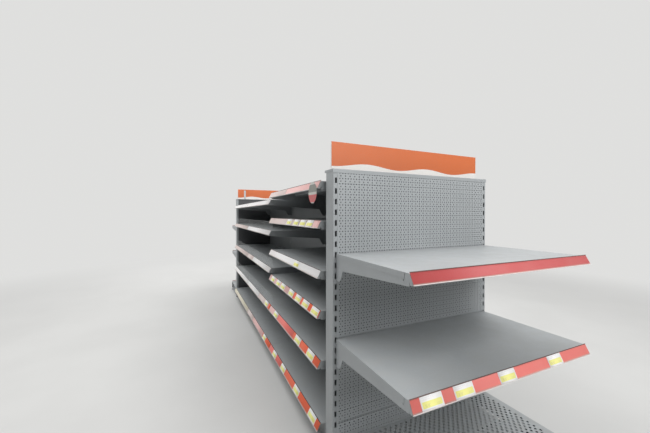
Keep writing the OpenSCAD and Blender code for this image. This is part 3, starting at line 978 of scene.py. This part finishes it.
class SHELVING_OT_punched_decks(bpy.types.Operator):
    """Base decks of both ends with their staggered holes"""

    bl_idname = "shelving.punched_decks"
    bl_label = "Punched Decks"

    def execute(self, context):
        for end, outward in ENDS.items():
            node = end + "_base_deck"
            low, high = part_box(node)
            bm = punched_deck(low, high)
            rear = min(low.dot(outward), high.dot(outward))
            place = Matrix.Translation(outward * rear + UP * high.z) @ turned_to(outward)
            bmesh.ops.transform(bm, matrix=place, verts=bm.verts)
            add_piece(bm, f"{end}_punched_deck", deck_coat, "grey_paint", node)
        return {"FINISHED"}


class SHELVING_OT_strips(bpy.types.Operator):
    """Rounded copies of the plastic ticket strips"""

    bl_idname = "shelving.strips"
    bl_label = "Ticket Strips"

    def execute(self, context):
        for place, outward in PLACES.items():
            node = place + "_ticket_strips"
            boxes = solids(node)
            rounded_copy(
                node, node + "_extruded", extruded_strip, "strip_plastic", radius=0.0003,
                change=lambda bm: raise_lips(bm, boxes, outward),
            )
        return {"FINISHED"}


def raise_lips(bm, boxes, outward):
    """Draws each strip's upper lip up its slope, past the nose that it is clipped to, and marks both lips."""
    strip = bpy.context.scene.shelving_strip
    marks = [bm.faces.layers.float.new("upper_lip"), bm.faces.layers.float.new("lower_lip")]
    for box in boxes:
        place = strip_place(box, outward)
        flat = place.inverted()
        reach = abs((box[1] - box[0]).dot(place.col[0].to_3d()))
        halves = [set(), set()]
        for vert in bm.verts:
            at = flat @ vert.co
            along = -STRIP_REACH[0] < at.x < reach + STRIP_REACH[0]
            across = -STRIP_REACH[1] < at.y < strip.height + STRIP_REACH[1]
            if along and across and abs(at.z) < STRIP_REACH[2]:
                halves[at.y > strip.height / 2].add(vert)
        for half, mark in zip(halves, marks):
            for face in bm.faces:
                if half.issuperset(face.verts):
                    face[mark] = 1.0
        bmesh.ops.translate(bm, verts=list(halves[0]), vec=place.col[1].to_3d() * -strip.rise)


class SHELVING_OT_cards(bpy.types.Operator):
    """Papers and tickets in the strips"""

    bl_idname = "shelving.cards"
    bl_label = "Papers and Tickets"

    def execute(self, context):
        chance = random.Random(context.scene.shelving_stage.seed)
        colours = context.scene.shelving_colours
        for place, outward in PLACES.items():
            papers = bmesh.new()
            tickets = bmesh.new()
            tint = papers.loops.layers.float_color.new("paper")
            for box, (lengths, spans) in strip_rows(place + "_ticket_strips", outward):
                frame_of_strip = strip_place(box, outward)
                length = max(box[1].x - box[0].x, box[1].y - box[0].y)
                start = PAPER_END
                for end, name in lengths:
                    reach = min(end, length - PAPER_END)
                    faces = add_card(papers, frame_of_strip, start, reach - PAPER_GAP, **PAPER_FIT)
                    tone = shade(getattr(colours, name), chance.uniform(*PAPER_TONES))
                    for face in faces:
                        for loop in face.loops:
                            loop[tint] = tone
                    start = reach + PAPER_GAP
                for first, last in spans:
                    slip = chance.uniform(-TICKET_SLIP, TICKET_SLIP)
                    tilt = chance.uniform(-TICKET_TILT, TICKET_TILT)
                    add_card(tickets, frame_of_strip, first + slip, last + slip, tilt=tilt, **TICKET_FIT)
            add_piece(papers, place + "_strip_papers", strip_paper, "strip_plastic")
            add_piece(tickets, place + "_tickets", ticket_card, "strip_plastic")
        return {"FINISHED"}


class SHELVING_OT_risers(bpy.types.Operator):
    """Rounded copies of the clear front risers"""

    bl_idname = "shelving.risers"
    bl_label = "Clear Risers"

    def execute(self, context):
        for side in SIDES:
            node = side + "_risers"
            rounded_copy(node, node + "_polished", clear_acrylic, "clear_plastic", radius=0.0005)
        return {"FINISHED"}


class SHELVING_OT_headers(bpy.types.Operator):
    """Printed header boards and their zinc holders, with two rivets in each holder"""

    bl_idname = "shelving.headers"
    bl_label = "Header Boards"

    def execute(self, context):
        for end in ENDS:
            board = end + "_header_board"
            holders = end + "_header_holders"
            rounded_copy(board, board + "_printed", printed_board, "header_print", radius=0.0006)
            rounded_copy(holders, holders + "_plated", zinc_plate, "zinc_steel")
        for end, outward in ENDS.items():
            rivets = bmesh.new()
            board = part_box(end + "_header_board")
            rear = min(board[0].dot(outward), board[1].dot(outward)) - HOLDER_SHEET
            for low, high in solids(end + "_header_holders"):
                middle = Vector(((low.x + high.x) / 2, 0, 0)) + outward * rear
                for share in RIVET_LEVELS:
                    level = UP * (low.z + (high.z - low.z) * share)
                    join(rivets, rivet(Matrix.Translation(middle + level) @ turned_to(-outward)))
            add_piece(rivets, end + "_header_rivets", zinc_plate, "zinc_steel")
        return {"FINISHED"}


def turned(outline, steps):
    """A solid spun about Z from its outline, as radii and heights, with an open foot filled."""
    bm = bmesh.new()
    verts = [bm.verts.new((x, 0, z)) for x, z in outline]
    edges = [bm.edges.new(pair) for pair in zip(verts, verts[1:])]
    bmesh.ops.spin(bm, geom=edges, cent=(0, 0, 0), axis=UP, angle=math.tau, steps=steps, use_merge=True)
    bmesh.ops.remove_doubles(bm, verts=bm.verts, dist=CUT_DISTANCE)
    bmesh.ops.holes_fill(bm, edges=[edge for edge in bm.edges if edge.is_boundary])
    bmesh.ops.recalc_face_normals(bm, faces=bm.faces)
    return bm


def rivet(place):
    """A domed rivet head that stands out to -Y."""
    outline = [(0.0045, -0.0001), (0.0045, 0.0004), (0.0040, 0.0011)]
    outline += [(0.0027, 0.0017), (0.0012, 0.0020), (0, 0.0020)]
    bm = turned(outline, steps=20)
    for face in bm.faces:
        face.smooth = len(face.verts) < 5
    lying = Matrix.Rotation(math.pi / 2, 4, "X")
    bmesh.ops.transform(bm, matrix=place @ lying, verts=bm.verts)
    return bm


class SHELVING_OT_flags(bpy.types.Operator):
    """Round card flags set against the near bay's top strips"""

    bl_idname = "shelving.flags"
    bl_label = "Shelf Flags"

    def execute(self, context):
        for side, outward in SIDES.items():
            bm = bmesh.new()
            turn = Matrix.Rotation(math.pi / 2 * outward.x, 4, "Y")
            bmesh.ops.create_circle(bm, cap_ends=True, segments=48, radius=FLAG_RADIUS)
            bmesh.ops.inset_region(bm, faces=bm.faces[:], thickness=FLAG_RIM)
            prints = bm.loops.layers.uv.new("print")
            bmesh.ops.transform(bm, matrix=turn, verts=bm.verts)
            for face in bm.faces:
                for loop in face.loops:
                    loop[prints].uv = loop.vert.co.yz / (2 * FLAG_RADIUS) + Vector((0.5, 0.5))
            thicken(bm, FLAG_SHEET)
            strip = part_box(side + "_ticket_strips")
            reach = max(strip[0].dot(outward), strip[1].dot(outward))
            back = outward.x * (reach - FLAG_PRESS)
            bmesh.ops.translate(bm, verts=bm.verts, vec=(back, *FLAG_PLACE))
            add_piece(bm, side + "_shelf_flag", flag_print, "header_print")
        return {"FINISHED"}


class SHELVING_OT_feet(bpy.types.Operator):
    """Turned levelling feet with their studs and lock nuts"""

    bl_idname = "shelving.feet"
    bl_label = "Levelling Feet"

    def execute(self, context):
        pads = bmesh.new()
        studs = bmesh.new()
        for low, high in solids("levelling_feet"):
            middle = (low + high) / 2
            place = Matrix.Translation((middle.x, middle.y, 0))
            radius = (high.x - low.x) / 2
            join(pads, turned_pad(radius, place))
            join(studs, stud(high.z, place))
        add_piece(pads, "foot_pads", moulded_foot, "black_plastic", "levelling_feet")
        add_piece(studs, "foot_studs", zinc_plate, "zinc_steel", "levelling_feet")
        return {"FINISHED"}


def turned_pad(radius, place):
    """A round pad with a chamfered foot and a boss."""
    outline = [(0, 0), (radius - 0.001, 0), (radius, 0.001), (radius, 0.0035), (radius - 0.0015, 0.005)]
    outline += [(0.010, 0.0062), (0.008, 0.007), (0, 0.007)]
    bm = turned(outline, steps=32)
    for face in bm.faces:
        face.smooth = abs(face.normal.z) < 0.95
    bmesh.ops.transform(bm, matrix=place, verts=bm.verts)
    return bm


def upright_bar(radius, bottom, top, sides):
    """A many-sided bar about Z, between two heights."""
    bm = bmesh.new()
    middle = Matrix.Translation((0, 0, (top + bottom) / 2))
    bmesh.ops.create_cone(
        bm, cap_ends=True, segments=sides, radius1=radius, radius2=radius, depth=top - bottom, matrix=middle
    )
    return bm


def stud(top, place):
    """A stud with a hexagonal lock nut above the pad, under the post or leg."""
    bm = upright_bar(STUD_RADIUS, STUD_FOOT, top, sides=16)
    nut = upright_bar(NUT_RADIUS, NUT_FOOT, NUT_FOOT + NUT_HEIGHT, sides=6)
    bmesh.ops.bevel(
        nut, geom=nut.edges[:], offset=NUT_EDGE, affect="EDGES", segments=2, profile=0.5, material=-1
    )
    join(bm, nut)
    bmesh.ops.transform(bm, matrix=place, verts=bm.verts)
    return bm


class SHELVING_OT_inner_frame(bpy.types.Operator):
    """Finishes of the cross rails and the couplers, which keep their solids' shape"""

    bl_idname = "shelving.inner_frame"
    bl_label = "Inner Frame"

    def execute(self, context):
        for node in ("near_cross_rails", "far_cross_rails", "run_cross_rails"):
            give_finish(node, dark_coat)
        rounded_copy("end_couplers", "end_couplers_plated", zinc_plate, "zinc_steel", radius=0.0005)
        return {"FINISHED"}


class SHELVING_OT_stage(bpy.types.Operator):
    """Floor, background, lamps and camera"""

    bl_idname = "shelving.stage"
    bl_label = "Stage"

    def execute(self, context):
        scene = context.scene
        settings = scene.shelving_stage
        bm = bmesh.new()
        bmesh.ops.create_grid(bm, x_segments=8, y_segments=8, size=FLOOR_HALF)
        finished(bm, "floor", floor_paint)
        scene.world = studio_light(Finish(bpy.data.worlds.new("studio"), "Background"))
        for name, (place, aim, power, mirrored) in LAMPS.items():
            add_lamp(name, place, aim, power * settings.lamps, mirrored)
        camera = bpy.data.cameras.new("camera")
        camera.lens = settings.lens
        camera.sensor_width = 36.0
        camera.shift_y = CAMERA_SHIFT
        camera.clip_end = 200.0
        scene.camera = linked("camera", camera)
        scene.camera.location = settings.viewpoint
        scene.camera.rotation_euler = (math.pi / 2 - settings.dip, settings.roll, -settings.turn)
        scene.view_settings.view_transform = "Standard"
        return {"FINISHED"}


def floor_paint(f):
    """Plain pale floor that turns into the background further out."""
    floor = bpy.context.scene.shelving_colours.floor
    place = f.place()
    tone = f.noise(place, 1.4, 4)
    colour = f.mix(tone.rising(0.3, 0.7), shade(floor, 0.97), shade(floor, 1.02))
    f.done(Base_Color=colour, Roughness=0.62 + tone * 0.1)
    distance = f.node("ShaderNodeVectorMath", {"operation": "LENGTH"}, [place], out="Value")
    away = distance.rising(*FLOOR_FADE) * seen_directly(f)
    backdrop = bpy.context.scene.shelving_colours.backdrop
    glow = f.node("ShaderNodeEmission", None, {"Color": shade(backdrop), "Strength": 1.0})
    surface = f.node("ShaderNodeMixShader", None, {0: away, 1: Value(f, f.shader.outputs[0]), 2: glow})
    f.put(f.tree.nodes["Material Output"].inputs["Surface"], surface)
    return f.holder


def studio_light(f):
    """Soft light from all round, behind a pale background that the camera and reflections see."""
    backdrop = bpy.context.scene.shelving_colours.backdrop
    fill = bpy.context.scene.shelving_stage.fill
    return f.done(Color=shade(backdrop), Strength=fill + seen_directly(f) * (1 - fill))


def seen_directly(f):
    """One on rays from the camera, from gloss and through clear pieces, and zero on rays that carry light."""
    kinds = ("Camera", "Glossy", "Transmission")
    rays = [f.node("ShaderNodeLightPath", out=f"Is {kind} Ray") for kind in kinds]
    return (rays[0] + rays[1] + rays[2]) > 0.5


def add_lamp(name, place, aim, power, mirrored):
    """A square soft lamp that looks at a point, and shows in glossy surfaces if mirrored."""
    lamp = bpy.data.lights.new(name, "AREA")
    lamp.shape = "SQUARE"
    lamp.size = LAMP_SIZE
    lamp.energy = power
    holder = linked(name, lamp)
    holder.location = place
    holder.rotation_euler = (Vector(aim) - Vector(place)).to_track_quat("-Z", "Y").to_euler()
    holder.visible_camera = False
    holder.visible_glossy = mirrored


class SHELVING_PT_panel(bpy.types.Panel):
    """Lists the pieces of the shelving run in the sidebar"""

    bl_label = "Shop Shelving Run"
    bl_space_type = "VIEW_3D"
    bl_region_type = "UI"
    bl_category = "Shelving"

    def draw(self, context):
        for operator in OPERATORS:
            self.layout.operator(operator.bl_idname)
        for group in GROUPS:
            settings = getattr(context.scene, group)
            for name in settings.bl_rna.properties.keys():
                if name not in {"rna_type", "name"}:
                    self.layout.prop(settings, name)


GROUPS = {
    "shelving_sheet": ShelvingSheet,
    "shelving_strip": ShelvingStrip,
    "shelving_colours": ShelvingColours,
    "shelving_stage": ShelvingStage,
}
OPERATORS = (
    SHELVING_OT_posts,
    SHELVING_OT_shelves,
    SHELVING_OT_brackets,
    SHELVING_OT_base,
    SHELVING_OT_punched_panels,
    SHELVING_OT_punched_decks,
    SHELVING_OT_strips,
    SHELVING_OT_cards,
    SHELVING_OT_risers,
    SHELVING_OT_headers,
    SHELVING_OT_flags,
    SHELVING_OT_feet,
    SHELVING_OT_inner_frame,
    SHELVING_OT_stage,
)


def register():
    for name, group in GROUPS.items():
        bpy.utils.register_class(group)
        setattr(bpy.types.Scene, name, PointerProperty(type=group))
    for operator in OPERATORS:
        bpy.utils.register_class(operator)
    bpy.utils.register_class(SHELVING_PT_panel)


def unregister():
    bpy.utils.unregister_class(SHELVING_PT_panel)
    for operator in reversed(OPERATORS):
        bpy.utils.unregister_class(operator)
    for name, group in GROUPS.items():
        delattr(bpy.types.Scene, name)
        bpy.utils.unregister_class(group)


def main():
    register()
    for operator in OPERATORS:
        category, name = operator.bl_idname.split(".")
        getattr(getattr(bpy.ops, category), name)()


if __name__ == "__main__":
    main()
